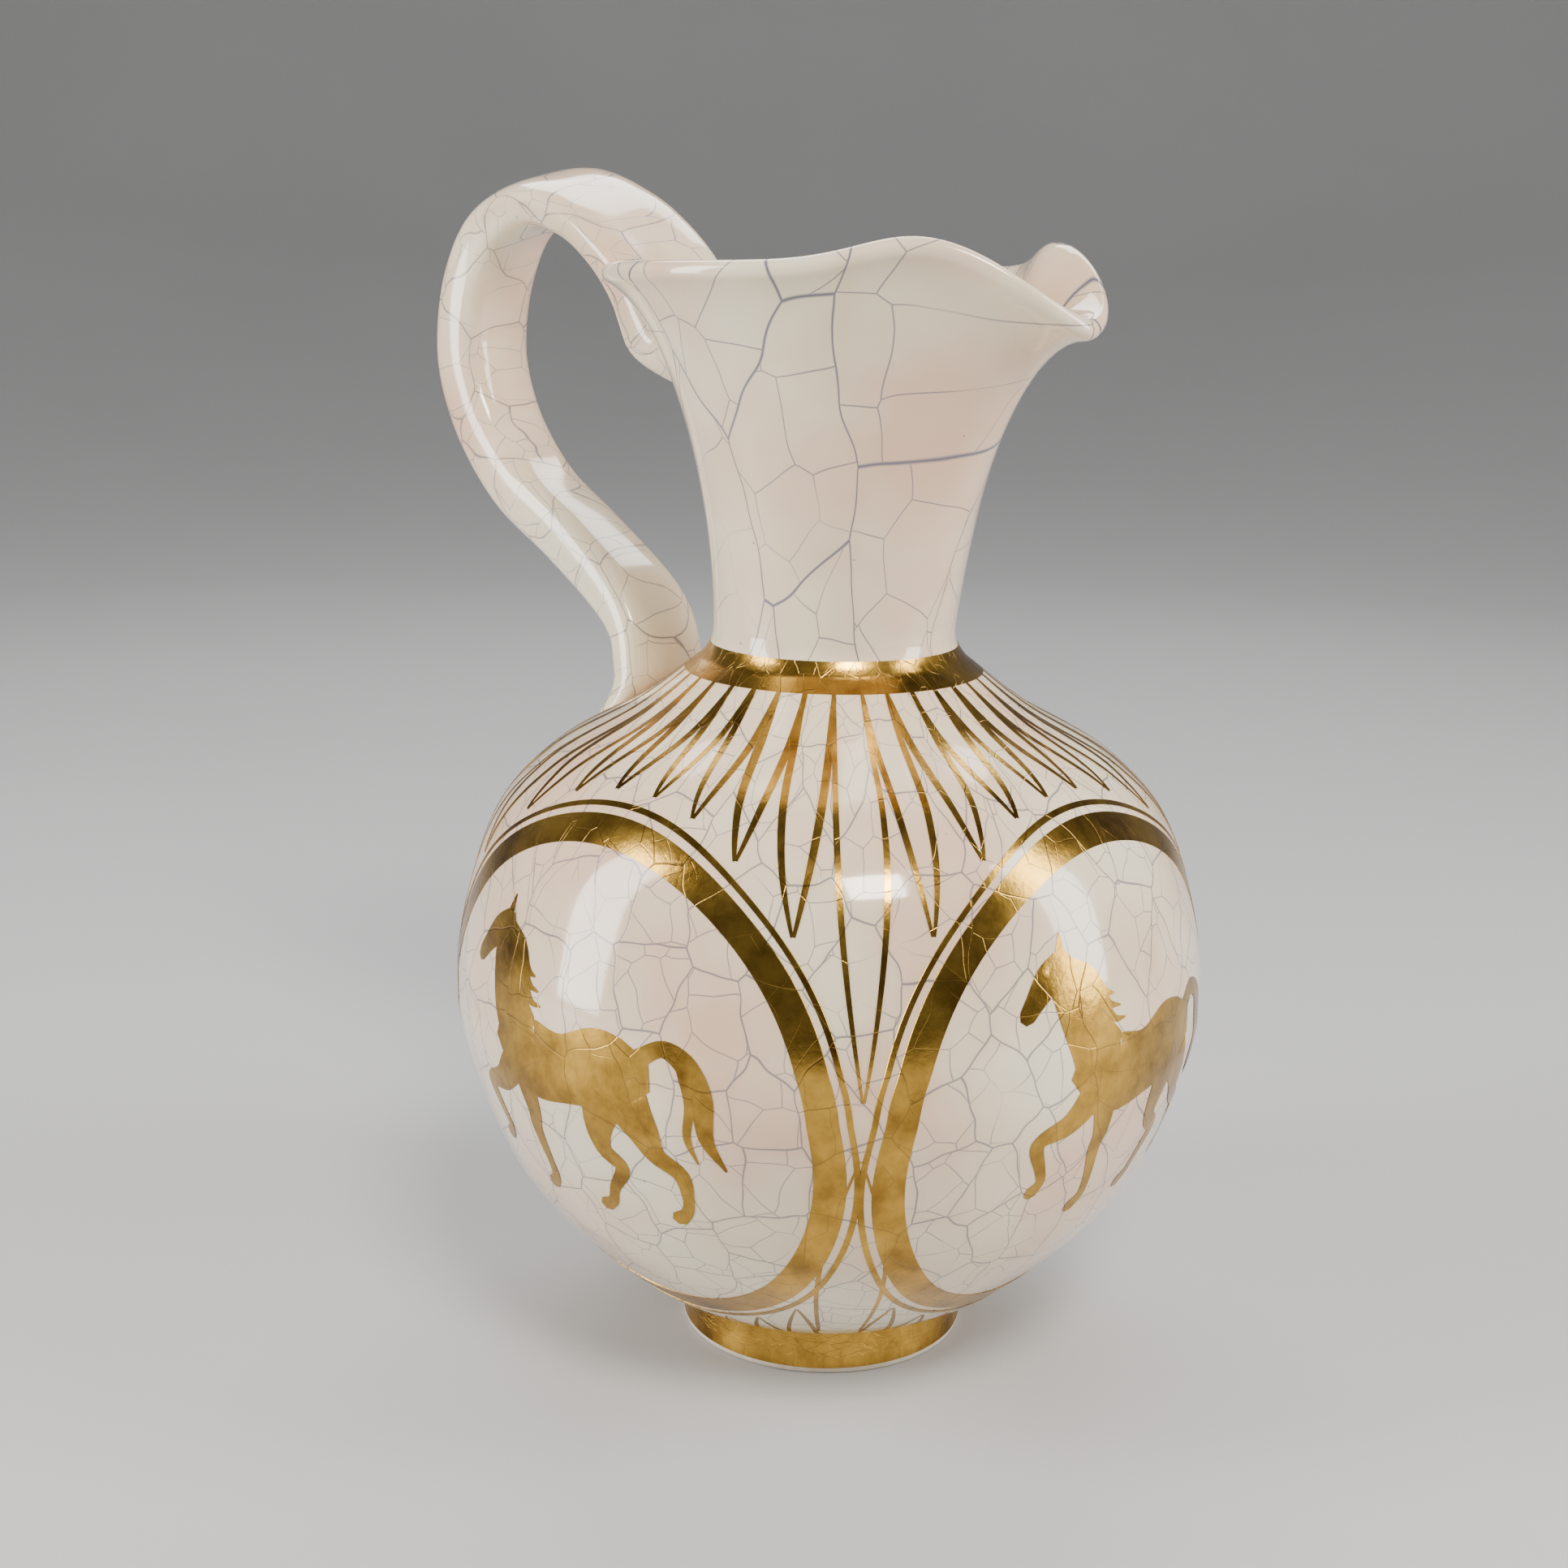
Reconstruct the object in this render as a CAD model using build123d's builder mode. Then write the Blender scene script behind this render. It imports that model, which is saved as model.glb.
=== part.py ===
# Ceramic pitcher: a globe on a foot ring, a flared neck with a pinched pouring lip,
# a strap handle and fired-on gold bands and medallion rings.
# Millimetres. +Z is up, +X is the way it pours, the handle is on -X.
# The origin is on the axis of the globe, in the plane the foot rests on.
from build123d import *
import math
import os

os.makedirs("parts", exist_ok=True)

# ---- globe ----
belly_radius = 80.0          # widest part of the globe
globe_height = 141.3         # from the top of the foot ring to the neck's seat
globe_wall = 4.5             # fired wall of the globe
floor_thickness = 6.0        # clay left under the inside of the globe

# ---- foot ring ----
foot_height = 8.7
foot_base_radius = 31.3      # where it stands
foot_taper = 1.3             # the ring draws in this much up to the globe
foot_ring_wall = 6.5         # width of the ring the pitcher stands on
foot_edge_radius = 0.8

# ---- neck ----
neck_seat_radius = 28.0      # outside of the joint between globe and neck
throat_cove = 2.6            # the narrowest part is this much smaller in radius than the joint
throat_height = 7.0          # narrowest part above the seat
neck_height = 80.0           # from the seat to the rim beside the handle
neck_wall = 3.6              # wall, measured level
lip_thickness = 3.0          # wall, measured upright where the lip lies nearly flat
rim_side_radius = 44.0       # rim across the pour
rim_back_radius = 50.0       # rim at the handle
spout_reach = 62.0           # tip of the pouring lip from the axis
spout_drop = 12.5            # tip of the lip below the rim beside the handle
hump_rise = 5.0              # the rim stands this much higher on both sides of the lip
hump_place = 39.0            # the two humps are this far forward of the axis
lip_half_angle = 25.0        # how far the pinch spreads to either side, degrees

# ---- handle ----
strap_width_mid = 21.5       # strap at the grip
strap_width_root = 24.0      # strap where it spreads on the shoulder
strap_width_top = 30.0       # strap where it comes down on the rim
strap_thickness = 14.0
strap_thickness_ends = 9.0
handle_reach = 112.0         # middle of the strap from the axis, at the grip
handle_top = 248.0           # middle of the strap above the table
grip_share = 0.76            # the strap stands furthest out at this share of the neck's height
handle_root_radius = 52.0    # where the strap stands on the shoulder
strap_edge_share = 0.4       # edge rounding as a share of the strap's thickness

# ---- gold ----
gold_thickness = 0.2         # far thicker than real lustre, so that it stays a solid
neck_band_below = 2.6        # the neck band reaches this far under the joint
neck_band_above = 3.0        # and this far over it
medallion_count = 4
medallion_height = 77.0      # middle of each medallion
medallion_tilt = 4.0         # the medallions look down by this angle, degrees
medallion_radius = 54.5      # outside of the broad ring
medallion_ring_width = 5.0
gold_gap = 0.1               # between the neck band and the glaze
foot_band_bare_edge = 0.9    # unglazed clay left bare under the foot band

foot_waist_radius = foot_base_radius - foot_taper
throat_radius = neck_seat_radius - throat_cove
seat_height = foot_height + globe_height
rim_height = seat_height + neck_height
throat_at = seat_height + throat_height
# turned profiles are drawn here, so that their seams fall between the medallions
diagonal = math.sqrt(0.5)
profile_plane = Plane(origin=(0, 0, 0), x_dir=(diagonal, diagonal, 0), z_dir=(diagonal, -diagonal, 0))


def globe_outline(swell):
    """Points up the outside of the globe, pushed outwards by swell."""
    shares = [(0.575, 0.069), (0.834, 0.222), (0.966, 0.395), (1.0, 0.545),
              (0.909, 0.745), (0.753, 0.851), (0.516, 0.929)]
    points = [(foot_waist_radius, foot_height - swell)]
    for across, up in shares:
        lean = (up - 0.545) / (0.455 if up > 0.545 else 0.545)
        points.append((across * belly_radius + swell * (1 - abs(lean)) ** 0.5,
                       foot_height + up * globe_height + swell * lean))
    points.append((neck_seat_radius + swell * 0.7, seat_height + swell * 0.7))
    return points


def globe_solid(swell):
    """The globe as a full solid of revolution, its skin moved outwards by swell."""
    points = globe_outline(swell)
    with BuildPart() as globe:
        with BuildSketch(profile_plane):
            with BuildLine():
                Spline(*points, tangents=[(1.0, 0.42), (-1.0, 1.25)])
                Polyline(points[-1], (0, points[-1][1]), (0, points[0][1]), points[0])
            make_face()
        revolve(axis=Axis.Z)
    return globe.part


def neck_shape():
    """Height, side radius, back radius and front reach of each level section of the neck.

    The last three stand above the lip, where the rim is cut to its profile."""
    side = rim_side_radius
    back = rim_back_radius
    front = spout_reach
    tip = rim_height - spout_drop
    grow = throat_radius
    return [
        (seat_height, neck_seat_radius, neck_seat_radius, neck_seat_radius),
        (seat_height + 0.45 * throat_height,) + (0.5 * (neck_seat_radius + throat_radius) - 0.45,) * 3,
        (throat_at, throat_radius, throat_radius, throat_radius),
        (throat_at + 0.14 * neck_height, grow + 0.5, grow + 0.5, grow + 0.6),
        (throat_at + 0.28 * neck_height, grow + 2.6, grow + 2.8, grow + 4.0),
        (throat_at + 0.42 * neck_height, grow + 5.2, grow + 5.8, grow + 9.5),
        (tip - 15.0, grow + 0.42 * (side - grow), grow + 0.38 * (back - grow), grow + 0.42 * (front - grow)),
        (tip - 7.0, grow + 0.56 * (side - grow), grow + 0.50 * (back - grow), grow + 0.68 * (front - grow)),
        (tip - 1.0, grow + 0.70 * (side - grow), grow + 0.64 * (back - grow), front),
        (tip + 5.0, grow + 0.84 * (side - grow), grow + 0.78 * (back - grow), front + 8.0),
        (rim_height - 1.0, side, back, front + 14.0),
        (rim_height + hump_rise + 4.0, side + 1.0, back - 7.0, front + 16.0),
    ]


def neck_section(height, side, back, front, wall):
    """One level outline of the neck: round at the back, drawn out at the front."""
    outline = []
    steps = 20
    for step in range(steps):
        angle = 360.0 * step / steps
        turn = min(angle, 360.0 - angle)
        pinch = math.exp(-((turn / lip_half_angle) ** 2))
        rear = math.sin(math.radians(turn / 2)) ** 4
        radius = side + (front - side) * pinch + (back - side) * rear - wall
        outline.append((radius * math.cos(math.radians(angle)), radius * math.sin(math.radians(angle))))
    with BuildSketch(Plane.XY.offset(height)) as section:
        with BuildLine():
            Spline(*outline, periodic=True)
        make_face()
    return section.sketch


def neck_solid(wall, lift):
    """The neck as a full solid, its skin drawn in by wall and raised by lift."""
    shape = neck_shape()
    if wall > 0:
        shape[0] = (seat_height - lift - 1,) + shape[0][1:]
    with BuildPart() as full:
        sections = [neck_section(z + lift, s, b, f, wall) for z, s, b, f in shape]
        loft(sections=sections)
    return full.part


def foot_solid(swell):
    """The foot ring, its outer side moved outwards by swell."""
    with BuildPart() as ring:
        with BuildSketch(profile_plane):
            with BuildLine():
                inner = foot_base_radius - foot_ring_wall
                base = (foot_base_radius + swell, 0)
                waist = (foot_waist_radius + swell, foot_height)
                Line((inner, 0), base)
                Spline(base, (foot_waist_radius + 0.2 + swell, 0.55 * foot_height), waist)
                Polyline(waist, (inner, foot_height), (inner, 0))
            make_face()
        revolve(axis=Axis.Z)
        fillet(ring.edges().group_by(Axis.Z)[0], radius=foot_edge_radius)
    return ring.part


# ---- foot ring ----
with BuildPart() as foot_ring:
    add(foot_solid(0))
foot_ring.part.label = "foot_ring"

# ---- globe, hollow ----
globe_outside = globe_solid(0)
with BuildPart() as globe:
    add(globe_outside)
    with BuildSketch(profile_plane):
        with BuildLine():
            hollow = globe_outline(-globe_wall)
            floor_at = foot_height + floor_thickness
            hollow = [point for point in hollow if point[1] > floor_at + 4]
            hollow[-1] = (neck_seat_radius - neck_wall, seat_height)
            bottom = (0.5 * foot_waist_radius, floor_at)
            Spline((0, floor_at), bottom, *hollow, tangents=[(1, 0), (-1.0, 1.6)])
            Polyline(hollow[-1], (0, seat_height), (0, floor_at))
        make_face()
    revolve(axis=Axis.Z, mode=Mode.SUBTRACT)
globe.part.label = "globe"

# ---- neck with its pouring lip ----
neck_outside = neck_solid(0, 0)
# seen from the side; both ends run on past the neck
rim_profile = [
    (-1.6 * rim_back_radius, rim_height - 2.0),
    (-rim_back_radius, rim_height - 0.5),
    (0, rim_height + 0.2 * hump_rise),
    (hump_place, rim_height + hump_rise),
    (spout_reach, rim_height - spout_drop + 1.0),
    (1.5 * spout_reach, rim_height - 2.0 * spout_drop),
]
with BuildPart() as neck:
    add(neck_outside)
    add(neck_solid(neck_wall, lip_thickness), mode=Mode.SUBTRACT)
    with BuildSketch(Plane.XZ):
        with BuildLine():
            top = 2 * rim_height
            Spline(*rim_profile)
            Polyline(rim_profile[-1], (rim_profile[-1][0], top), (rim_profile[0][0], top), rim_profile[0])
        make_face()
    extrude(amount=2 * spout_reach, both=True, mode=Mode.SUBTRACT)
neck.part.label = "neck"

globe_gilt = globe_solid(gold_thickness)

# ---- strap handle ----
grip_height = seat_height + grip_share * neck_height
strap_path = [
    (-handle_root_radius + 4, seat_height - 22),
    (-handle_root_radius - 1, seat_height - 10),
    (-handle_root_radius - 4, seat_height - 1),
    (-0.60 * handle_reach, seat_height + 0.13 * neck_height),
    (-0.84 * handle_reach, grip_height - 35),
    (-0.975 * handle_reach, grip_height - 15),
    (-handle_reach, grip_height),
    (-0.955 * handle_reach, handle_top - 15.5),
    (-0.845 * handle_reach, handle_top - 3.2),
    (-0.73 * handle_reach, handle_top),
    (-0.61 * handle_reach, handle_top - 4.5),
    (-rim_back_radius - 7, rim_height + 0.2),
    (-rim_back_radius + 2, rim_height - 11),
    (-rim_back_radius + 12, rim_height - 23),
]
# how far along the strap, its width and its thickness; it swells where it is smeared onto the pot
strap_sections = [
    (0.0, 1.45 * strap_width_root, 1.7 * strap_thickness_ends),
    (0.06, 1.1 * strap_width_root, 1.25 * strap_thickness_ends),
    (0.14, strap_width_root, strap_thickness_ends),
    (0.27, 0.5 * (strap_width_root + strap_width_mid), strap_thickness),
    (0.42, strap_width_mid, strap_thickness),
    (0.56, strap_width_mid, strap_thickness),
    (0.68, 0.5 * (strap_width_mid + strap_width_top), strap_thickness),
    (0.80, 0.9 * strap_width_top, strap_thickness_ends),
    (0.90, 1.05 * strap_width_top, strap_thickness_ends),
    (1.0, 1.0 * strap_width_top, strap_thickness_ends),
]
with BuildLine(Plane.XZ) as strap_line:
    Spline(*strap_path)
with BuildPart() as handle:
    for along, width, thickness in strap_sections:
        across = Plane(origin=strap_line.line @ along, x_dir=(0, 1, 0), z_dir=strap_line.line % along)
        with BuildSketch(across):
            RectangleRounded(width, thickness, strap_edge_share * thickness)
    loft()
    add(globe_gilt, mode=Mode.SUBTRACT)
    add(neck_outside, mode=Mode.SUBTRACT)
handle.part.label = "handle"

# ---- gold bands ----
with BuildPart() as gilt_neck_band:
    with BuildSketch(profile_plane):
        with BuildLine():
            low = (neck_seat_radius + 0.95 * neck_band_below, seat_height - neck_band_below)
            high = (throat_radius + 0.9, seat_height + neck_band_above)
            middle = (neck_seat_radius, seat_height)
            Spline(*[(radius + gold_gap, height) for radius, height in (low, middle, high)])
            Spline(*[(radius + gold_gap + gold_thickness, height) for radius, height in (low, middle, high)])
            Line((low[0] + gold_gap, low[1]), (low[0] + gold_gap + gold_thickness, low[1]))
            Line((high[0] + gold_gap, high[1]), (high[0] + gold_gap + gold_thickness, high[1]))
        make_face()
    revolve(axis=Axis.Z)
gilt_neck_band.part.label = "gilt_neck_band"

with BuildPart() as gilt_foot_band:
    add(foot_solid(gold_thickness))
    with BuildSketch(Plane.XY.offset(foot_band_bare_edge)):
        Circle(2 * foot_base_radius)
    extrude(amount=foot_height - foot_band_bare_edge - gold_thickness, mode=Mode.INTERSECT)
    add(foot_solid(0), mode=Mode.SUBTRACT)
gilt_foot_band.part.label = "gilt_foot_band"


def medallion_skin(outer_radius, width):
    """Rings of gold on the globe, one for each medallion, cut out of a thin skin."""
    tilt = math.radians(medallion_tilt)
    with BuildPart() as ring:
        facing = (math.cos(tilt), 0, -math.sin(tilt))
        with BuildSketch(Plane(origin=(0, 0, medallion_height), z_dir=facing)):
            Circle(outer_radius)
            Circle(outer_radius - width, mode=Mode.SUBTRACT)
        extrude(amount=2 * belly_radius)
        add(globe_gilt, mode=Mode.INTERSECT)
        add(globe_outside, mode=Mode.SUBTRACT)
    with BuildPart() as rings:
        with PolarLocations(0, medallion_count):
            add(ring.part)
    return rings.part


medallion_rings = medallion_skin(medallion_radius, medallion_ring_width)
medallion_rings.label = "medallion_rings"

for piece in (foot_ring.part, globe.part, neck.part, handle.part, gilt_neck_band.part,
              gilt_foot_band.part, medallion_rings):
    export_step(piece, f"parts/{piece.label}.step")
    print(piece.label, len(piece.solids()), round(piece.volume, 1))
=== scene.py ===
# %% [markdown]
# # A gilded pitcher under crackle glaze
# The pitcher is a turned globe on a foot ring, with a flared neck whose rim was pinched into a
# pouring lip, and a pulled strap handle. Everything is ivory glaze with a net of fine cracks,
# and over it lie painted and fired bands, rings, lancets and horses of gold lustre. The packed
# model is the frame: its box gives every place, and each piece here stands in that same frame.

# %% Load the frame
import math

import bmesh
import bpy
import numpy as np
from mathutils import Matrix, Vector, geometry


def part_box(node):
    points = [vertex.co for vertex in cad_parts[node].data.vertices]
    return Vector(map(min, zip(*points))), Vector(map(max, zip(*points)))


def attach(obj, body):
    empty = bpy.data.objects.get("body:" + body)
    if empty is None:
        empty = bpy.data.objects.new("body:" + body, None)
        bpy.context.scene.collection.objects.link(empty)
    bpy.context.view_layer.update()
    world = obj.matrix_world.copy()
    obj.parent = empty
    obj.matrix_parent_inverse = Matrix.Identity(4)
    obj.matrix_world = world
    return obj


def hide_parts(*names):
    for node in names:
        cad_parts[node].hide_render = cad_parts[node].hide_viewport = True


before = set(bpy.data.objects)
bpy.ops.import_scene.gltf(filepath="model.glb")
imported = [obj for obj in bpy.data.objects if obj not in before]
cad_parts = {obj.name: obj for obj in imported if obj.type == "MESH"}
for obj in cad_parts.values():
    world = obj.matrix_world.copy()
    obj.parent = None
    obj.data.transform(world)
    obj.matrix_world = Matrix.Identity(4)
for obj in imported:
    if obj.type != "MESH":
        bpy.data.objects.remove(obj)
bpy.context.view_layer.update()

# lengths are in millimetres here, and MM turns them into metres
MM = 0.001
# the gold stands this far proud of the glaze, and the globe leaves it a little more room
film = 0.10
belly_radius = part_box("globe")[1][1] / MM - 1.2 * film
foot_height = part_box("globe")[0][2] / MM
seat_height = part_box("globe")[1][2] / MM
print("belly radius", belly_radius, "foot", foot_height, "seat of the neck", seat_height)

# %% [markdown]
# ## Camera
# The pitcher is seen from a little below its rim, with the lip turned fifty degrees to the
# right. The camera is turned in three steps, each about one axis: heading, tilt and roll.

# %% Camera
camera_distance = 441.1
camera_height = 225.7
lip_turned_right = 50.0
camera_pan, camera_tilt, camera_roll = -1.32, -13.27, 0.84
sensor_width = 36.0
focal_length = 48.57

camera_data = bpy.data.cameras.new("camera")
camera_data.sensor_width = sensor_width
camera_data.lens = focal_length
camera_data.clip_start = 0.01
camera = bpy.data.objects.new("camera", camera_data)
bpy.context.collection.objects.link(camera)
heading = math.radians(90.0 - lip_turned_right)
stand = Matrix.Rotation(heading, 4, "Z") @ Vector((0, -camera_distance * MM, camera_height * MM))
turn = (Matrix.Rotation(heading - math.radians(camera_pan), 4, "Z")
        @ Matrix.Rotation(math.radians(90 + camera_tilt), 4, "X")
        @ Matrix.Rotation(math.radians(camera_roll), 4, "Z"))
camera.matrix_world = Matrix.Translation(stand) @ turn
bpy.context.scene.camera = camera
print("camera", camera_distance, "mm from the axis and", camera_height, "mm above the floor")

# %% [markdown]
# ## Curves and sheets
# Two helpers carry most of the modelling. `through` draws a smooth line through a few points,
# as a bent spline would lie on a drawing board. `wrap` takes a flat grid and moves each of its
# vertices to a place that a function gives, as clay is wrapped round a form, and then welds
# the edges that meet.


# %% Smooth lines
def through(points, steps):
    """Points of a smooth line that passes through the given points, steps to each span."""
    points = np.array(points, float)
    ends = np.vstack([2 * points[0] - points[1], points, 2 * points[-1] - points[-2]])
    line = []
    for a, b, c, d in zip(ends, ends[1:], ends[2:], ends[3:]):
        for t in np.arange(steps) / steps:
            line.append(0.5 * (2 * b + (c - a) * t + (2 * a - 5 * b + 4 * c - d) * t ** 2
                               + (3 * b - a - 3 * c + d) * t ** 3))
    line.append(points[-1])
    return np.array(line)


def bezier(a, b, c, d, steps):
    """Points of a cubic Bezier curve."""
    t = np.linspace(0, 1, steps)[:, None]
    a, b, c, d = (np.array(p, float) for p in (a, b, c, d))
    return (1 - t) ** 3 * a + 3 * t * (1 - t) ** 2 * b + 3 * t ** 2 * (1 - t) * c + t ** 3 * d


def along(line, share):
    """The point at a share of a line's length, and whatever else is noted along the line."""
    steps = np.linalg.norm(np.diff(line[:, :2], axis=0), axis=1)
    lengths = np.concatenate([[0], np.cumsum(steps)])
    return np.array([np.interp(share * lengths[-1], lengths, column) for column in line.T])


# %% Wrapped sheets and finished pieces
def wrap(mesh, around, up, place):
    """Adds a grid to mesh and moves each vertex to place(u, v), in millimetres."""
    mesh.loops.layers.uv.verify()
    made = bmesh.ops.create_grid(mesh, x_segments=around, y_segments=up, size=0.5, calc_uvs=True)
    for vertex in made["verts"]:
        vertex.co = Vector(place(vertex.co.x + 0.5, vertex.co.y + 0.5)) * MM
    return made["verts"]


sharp_from = math.radians(45)


def place_mesh(name, mesh, material):
    """Makes a bmesh an object with smooth faces and one material."""
    data = bpy.data.meshes.new(name)
    mesh.to_mesh(data)
    mesh.free()
    data.polygons.foreach_set("use_smooth", [True] * len(data.polygons))
    data.materials.append(material)
    made = bpy.data.objects.new(name, data)
    bpy.context.collection.objects.link(made)
    return made


def finish_piece(name, mesh, material, weld=0.002):
    """Welds a bmesh, points its faces outwards, makes it an object and gives it its finish."""
    bmesh.ops.remove_doubles(mesh, verts=mesh.verts, dist=weld * MM)
    bmesh.ops.dissolve_degenerate(mesh, dist=0.0005 * MM, edges=mesh.edges)
    bmesh.ops.holes_fill(mesh, edges=mesh.edges, sides=0)
    bmesh.ops.recalc_face_normals(mesh, faces=mesh.faces)
    for edge in mesh.edges:
        edge.smooth = edge.calc_face_angle(0.0) < sharp_from
    piece = place_mesh(name, mesh, material)
    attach(piece, "root")
    print(name, len(piece.data.polygons), "faces")
    return piece


def turned(outline, segments):
    """A closed outline of (radius, height) spun once round the axis."""
    mesh = bmesh.new()
    corners = [mesh.verts.new((radius * MM, 0, height * MM)) for radius, height in outline]
    edges = [mesh.edges.new((a, b)) for a, b in zip(corners, corners[1:])]
    if outline[0][0] > 0:
        edges.append(mesh.edges.new((corners[-1], corners[0])))
    bmesh.ops.spin(mesh, geom=corners + edges, cent=(0, 0, 0), axis=(0, 0, 1), dvec=(0, 0, 0),
                   angle=2 * math.pi, steps=segments, use_merge=True, use_duplicate=False)
    return mesh


# %% [markdown]
# ## Crackle glaze
# Crackle forms in generations: long cracks come first, and later ones start and end on them at
# right angles. So the group draws one net of Voronoi edges, and then a second, finer net whose
# coordinates jump from cell to cell of the first. The jumps hide under the first cracks, and
# each fine crack stops where it meets an old one.


# %% Node helpers
def node(tree, kind, place, **settings):
    """A node with its properties and the defaults of its inputs set."""
    made = tree.nodes.new(kind)
    made.location = place
    for key, value in settings.items():
        if hasattr(made, key):
            setattr(made, key, value)
        else:
            made.inputs[key.replace("_", " ")].default_value = value
    return made


def new_group(name, inputs, outputs):
    """An empty node group with named inputs and outputs."""
    group = bpy.data.node_groups.new(name, "ShaderNodeTree")
    for label, kind, value in inputs:
        socket = group.interface.new_socket(label, in_out="INPUT", socket_type="NodeSocket" + kind)
        if value is not None:
            socket.default_value = value
    for label, kind in outputs:
        group.interface.new_socket(label, in_out="OUTPUT", socket_type="NodeSocket" + kind)
    return group, group.nodes.new("NodeGroupInput"), group.nodes.new("NodeGroupOutput")


def new_finish(name):
    """A new material, its node tree and its shader."""
    material = bpy.data.materials.new(name)
    material.use_nodes = True
    return material, material.node_tree, material.node_tree.nodes["Principled BSDF"]


def noise_on(tree, where, place, **settings):
    """A Noise texture on the given coordinates."""
    made = node(tree, "ShaderNodeTexNoise", place, **settings)
    tree.links.new(where, made.inputs["Vector"])
    return made


def ramp(tree, value, place, *stops):
    """A Color Ramp on a value between two stops, each a position and a colour."""
    made = node(tree, "ShaderNodeValToRGB", place)
    for element, (position, colour) in zip(made.color_ramp.elements, stops):
        element.position = position
        element.color = colour
    tree.links.new(value, made.inputs["Fac"])
    return made.outputs["Color"]


def math_node(tree, operation, a, b, place, kind="ShaderNodeMath"):
    """A Math node, or another kind that has an operation, on two sockets or values."""
    made = node(tree, kind, place, operation=operation)
    for index, value in enumerate((a, b)):
        if isinstance(value, bpy.types.NodeSocket):
            tree.links.new(value, made.inputs[index])
        else:
            made.inputs[index].default_value = value
    return made.outputs[0]


def vector_node(tree, operation, a, b, place):
    """A Vector Math node on two sockets or vectors."""
    return math_node(tree, operation, a, b, place, "ShaderNodeVectorMath")


def map_range(tree, value, place, **settings):
    """A Map Range node on a value."""
    made = node(tree, "ShaderNodeMapRange", place, **settings)
    tree.links.new(value, made.inputs["Value"])
    return made


def roughened(tree, shader, value, low, high):
    """Lets the roughness run from low to high as a value does from 0 to 1."""
    rough = map_range(tree, value, (-400, -250), To_Min=low, To_Max=high)
    tree.links.new(rough.outputs["Result"], shader.inputs["Roughness"])


def bumped(tree, shader, height, strength, distance):
    """Raises the surface by a height, which stands for a distance in metres."""
    bump = node(tree, "ShaderNodeBump", (-100, -500), Strength=strength, Distance=distance)
    tree.links.new(height, bump.inputs["Height"])
    tree.links.new(bump.outputs["Normal"], shader.inputs["Normal"])


# %% Unrolling a round surface
# the chart is cut off this near to its poles, where it would run on for ever
chart_end = 0.97


def round_the_pot():
    """A group that unrolls a turned surface: round the axis becomes across, height stays up."""
    tree, start, end = new_group(
        "round the pot", [("Vector", "Vector", None), ("Radius", "Float", 0.08),
                          ("Middle", "Float", 0.085), ("Bulge", "Float", 0.084)],
        [("Vector", "Vector")])
    parts = node(tree, "ShaderNodeSeparateXYZ", (-900, 0))
    tree.links.new(start.outputs["Vector"], parts.inputs[0])
    angle = math_node(tree, "ARCTAN2", parts.outputs["Y"], parts.outputs["X"], (-700, 200))
    across = math_node(tree, "MULTIPLY", angle, start.outputs["Radius"], (-500, 200))
    # cells must stay square where the radius shrinks, so the height is stretched there as on a
    # sailor's chart
    above = math_node(tree, "SUBTRACT", parts.outputs["Z"], start.outputs["Middle"], (-700, 0))
    share = math_node(tree, "DIVIDE", above, start.outputs["Bulge"], (-500, 0))
    share = math_node(tree, "MAXIMUM", share, -chart_end, (-350, 0))
    share = math_node(tree, "MINIMUM", share, chart_end, (-200, 0))
    ratio = math_node(tree, "DIVIDE", math_node(tree, "ADD", share, 1.0, (-50, 100)),
                      math_node(tree, "SUBTRACT", 1.0, share, (-50, -100)), (100, 0))
    chart = math_node(tree, "LOGARITHM", ratio, math.e, (250, 0))
    up = math_node(tree, "MULTIPLY", math_node(tree, "MULTIPLY", chart, 0.5, (400, 0)),
                   start.outputs["Bulge"], (550, 0))
    joined = node(tree, "ShaderNodeCombineXYZ", (700, 100))
    tree.links.new(across, joined.inputs["X"])
    tree.links.new(up, joined.inputs["Y"])
    tree.links.new(joined.outputs[0], end.inputs["Vector"])
    return tree


unroll = round_the_pot()


# %% The craze group
def crack_net(tree, vector, density, width, place):
    """1 on the edges of flat Voronoi cells, the distance to them and the colour of each cell."""
    edges = node(tree, "ShaderNodeTexVoronoi", place, voronoi_dimensions="2D",
                 feature="DISTANCE_TO_EDGE")
    cells = node(tree, "ShaderNodeTexVoronoi", (place[0], place[1] - 250), voronoi_dimensions="2D")
    for made in (edges, cells):
        tree.links.new(vector, made.inputs["Vector"])
        tree.links.new(density, made.inputs["Scale"])
    line = map_range(tree, edges.outputs["Distance"], (place[0] + 200, place[1]),
                     interpolation_type="SMOOTHSTEP", To_Min=1.0, To_Max=0.0)
    tree.links.new(width, line.inputs["From Max"])
    return line.outputs["Result"], edges.outputs["Distance"], cells.outputs["Color"]


# beside the old cracks, the young ones are closer together, wider for their cells, and fainter
young_closer, young_wider, young_faint = 1.5, 1.15, 0.85
# beside the cells, the cracks' waves and the patches that young cracks fill are this dense
wave_share, patch_share = 0.7, 0.6
patch_from, patch_full = 0.32, 0.46
# how far from an old crack its stain soaks into the glaze
soak_reach = 0.12


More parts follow.
